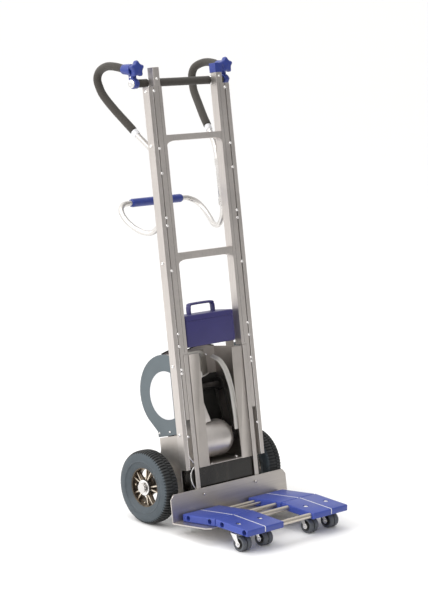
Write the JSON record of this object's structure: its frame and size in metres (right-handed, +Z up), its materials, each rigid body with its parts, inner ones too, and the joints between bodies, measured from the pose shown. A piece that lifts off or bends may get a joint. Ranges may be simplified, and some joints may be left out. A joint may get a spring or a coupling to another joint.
{
  "type": "stair climbing trolley",
  "caption": "Upright aluminium hand truck with a battery powered stair climbing drive, hoop handles and a folding caster deck on its toe plate.",
  "frame": {"origin": "on the floor, under the centre of the whole trolley", "axes": "+Z up, -Y towards the load (front), +Y towards the operator, +X to the trolley's right side; left is the -X side"},
  "size_m": [0.55, 0.8129, 1.5384],
  "materials": {
    "aluminium": "anodised, satin",
    "sheet_aluminium": "mill finish sheet",
    "steel": "zinc plated",
    "dark_steel": "oiled",
    "black_plastic": "moulded",
    "grey_plastic": "fine grain",
    "gear_casting": "painted casting",
    "blue_plastic": "moulded, semi-gloss",
    "foam": "closed-cell foam",
    "tyre_rubber": "solid rubber",
    "rim_alloy": "cast alloy",
    "caster_tread": "soft tread"
  },
  "bodies": {
    "frame": {"left_rail": "aluminium", "right_rail": "aluminium", "upper_strut": "aluminium", "lower_strut": "aluminium", "left_carrier_bar": "aluminium", "right_carrier_bar": "aluminium", "drive_housing": "sheet_aluminium", "upper_casting": "gear_casting", "motor": "aluminium", "left_drive_cover": "grey_plastic", "right_drive_cover": "grey_plastic", "left_side_plate": "sheet_aluminium", "right_side_plate": "sheet_aluminium", "lower_cover": "black_plastic", "bow_tube": "steel", "bow_grip": "blue_plastic", "left_stub_axle": "steel", "right_stub_axle": "steel", "toe_plate": "sheet_aluminium", "left_rear_pad": "blue_plastic", "right_rear_pad": "blue_plastic", "rear_rod": "aluminium", "middle_rod": "aluminium"},
    "handles": {"left_post": "aluminium", "right_post": "aluminium", "right_post_cap": "blue_plastic", "top_bar": "steel", "top_bar_grip": "foam", "left_handle_joint": "blue_plastic", "right_handle_joint": "blue_plastic", "left_hoop_grip": "foam", "right_hoop_grip": "foam", "left_hoop_tube": "steel", "right_hoop_tube": "steel"},
    "left_knob": {"left_clamp_knob": "blue_plastic"},
    "right_knob": {"right_clamp_knob": "blue_plastic"},
    "battery_pack": {"battery": "blue_plastic"},
    "left_wheel": {"left_tyre": "tyre_rubber", "left_rim": "rim_alloy"},
    "right_wheel": {"right_tyre": "tyre_rubber", "right_rim": "rim_alloy"},
    "crank": {"crankshaft": "dark_steel"},
    "left_leg": {"left_climbing_leg": "dark_steel"},
    "right_leg": {"right_climbing_leg": "dark_steel"},
    "left_foot": {"left_climbing_wheel": "tyre_rubber"},
    "right_foot": {"right_climbing_wheel": "tyre_rubber"},
    "motor_shaft": {"drive_sprocket": "dark_steel"},
    "front_deck": {"left_front_pad": "blue_plastic", "right_front_pad": "blue_plastic", "hinge_rod": "aluminium", "front_rod": "aluminium"},
    "left_inner_caster": {"left_inner_caster_fork": "steel"},
    "left_inner_wheel": {"left_inner_caster_wheel": "caster_tread"},
    "left_outer_caster": {"left_outer_caster_fork": "steel"},
    "left_outer_wheel": {"left_outer_caster_wheel": "caster_tread"},
    "right_inner_caster": {"right_inner_caster_fork": "steel"},
    "right_inner_wheel": {"right_inner_caster_wheel": "caster_tread"},
    "right_outer_caster": {"right_outer_caster_fork": "steel"},
    "right_outer_wheel": {"right_outer_caster_wheel": "caster_tread"}
  },
  "joints": [
    {"name": "handle_slide", "type": "slide", "parent": "frame", "child": "handles", "axis": [0, 0.1754, 0.9845], "range_m": [0, 0.15]},
    {"name": "left_knob_turn", "type": "hinge", "parent": "handles", "child": "left_knob", "pos_m": [-0.2005, 0.20907, 1.50978], "axis": [0, 0.9845, -0.1754], "range_deg": [0, 540]},
    {"name": "right_knob_turn", "type": "hinge", "parent": "handles", "child": "right_knob", "pos_m": [0.2005, 0.20907, 1.50978], "axis": [0, 0.9845, -0.1754], "range_deg": [0, 540]},
    {"name": "battery_lift", "type": "slide", "parent": "frame", "child": "battery_pack", "axis": [0, 0.1754, 0.9845], "range_m": [0, 0.15]},
    {"name": "left_wheel_turn", "type": "hinge", "parent": "frame", "child": "left_wheel", "pos_m": [-0.24, 0.0655, 0.125], "axis": [1, 0, 0], "continuous": true},
    {"name": "right_wheel_turn", "type": "hinge", "parent": "frame", "child": "right_wheel", "pos_m": [0.24, 0.0655, 0.125], "axis": [1, 0, 0], "continuous": true},
    {"name": "crank_turn", "type": "hinge", "parent": "frame", "child": "crank", "pos_m": [0, 0.10039, 0.42351], "axis": [1, 0, 0], "continuous": true},
    {"name": "left_leg_swing", "type": "hinge", "parent": "crank", "child": "left_leg", "pos_m": [-0.1365, 0.11196, 0.48849], "axis": [1, 0, 0], "continuous": true},
    {"name": "right_leg_swing", "type": "hinge", "parent": "crank", "child": "right_leg", "pos_m": [0.1365, 0.11196, 0.48849], "axis": [1, 0, 0], "continuous": true},
    {"name": "left_climbing_wheel_turn", "type": "hinge", "parent": "left_leg", "child": "left_foot", "pos_m": [-0.154, 0.04076, 0.08878], "axis": [1, 0, 0], "continuous": true},
    {"name": "right_climbing_wheel_turn", "type": "hinge", "parent": "right_leg", "child": "right_foot", "pos_m": [0.154, 0.04076, 0.08878], "axis": [1, 0, 0], "continuous": true},
    {"name": "drive_sprocket_turn", "type": "hinge", "parent": "frame", "child": "motor_shaft", "pos_m": [0, 0.03148, 0.25904], "axis": [1, 0, 0], "continuous": true},
    {"name": "deck_fold", "type": "hinge", "parent": "frame", "child": "front_deck", "pos_m": [0, -0.253, 0.088], "axis": [-1, 0, 0], "range_deg": [0, 180]},
    {"name": "left_inner_caster_swivel", "type": "hinge", "parent": "front_deck", "child": "left_inner_caster", "pos_m": [-0.1067, -0.3335, 0.06], "axis": [0, 0, 1], "continuous": true},
    {"name": "left_inner_caster_turn", "type": "hinge", "parent": "left_inner_caster", "child": "left_inner_wheel", "pos_m": [-0.1067, -0.3535, 0.025], "axis": [1, 0, 0], "continuous": true},
    {"name": "left_outer_caster_swivel", "type": "hinge", "parent": "front_deck", "child": "left_outer_caster", "pos_m": [-0.2025, -0.3335, 0.06], "axis": [0, 0, 1], "continuous": true},
    {"name": "left_outer_caster_turn", "type": "hinge", "parent": "left_outer_caster", "child": "left_outer_wheel", "pos_m": [-0.2025, -0.3535, 0.025], "axis": [1, 0, 0], "continuous": true},
    {"name": "right_inner_caster_swivel", "type": "hinge", "parent": "front_deck", "child": "right_inner_caster", "pos_m": [0.1067, -0.3335, 0.06], "axis": [0, 0, 1], "continuous": true},
    {"name": "right_inner_caster_turn", "type": "hinge", "parent": "right_inner_caster", "child": "right_inner_wheel", "pos_m": [0.1067, -0.3535, 0.025], "axis": [1, 0, 0], "continuous": true},
    {"name": "right_outer_caster_swivel", "type": "hinge", "parent": "front_deck", "child": "right_outer_caster", "pos_m": [0.2025, -0.3335, 0.06], "axis": [0, 0, 1], "continuous": true},
    {"name": "right_outer_caster_turn", "type": "hinge", "parent": "right_outer_caster", "child": "right_outer_wheel", "pos_m": [0.2025, -0.3535, 0.025], "axis": [1, 0, 0], "continuous": true}
  ],
  "couplings": [
    {"joint": "left_leg_swing", "follows": "crank_turn", "ratio": -1},
    {"joint": "right_leg_swing", "follows": "crank_turn", "ratio": -1},
    {"joint": "drive_sprocket_turn", "follows": "crank_turn", "ratio": 1.1944}
  ]
}
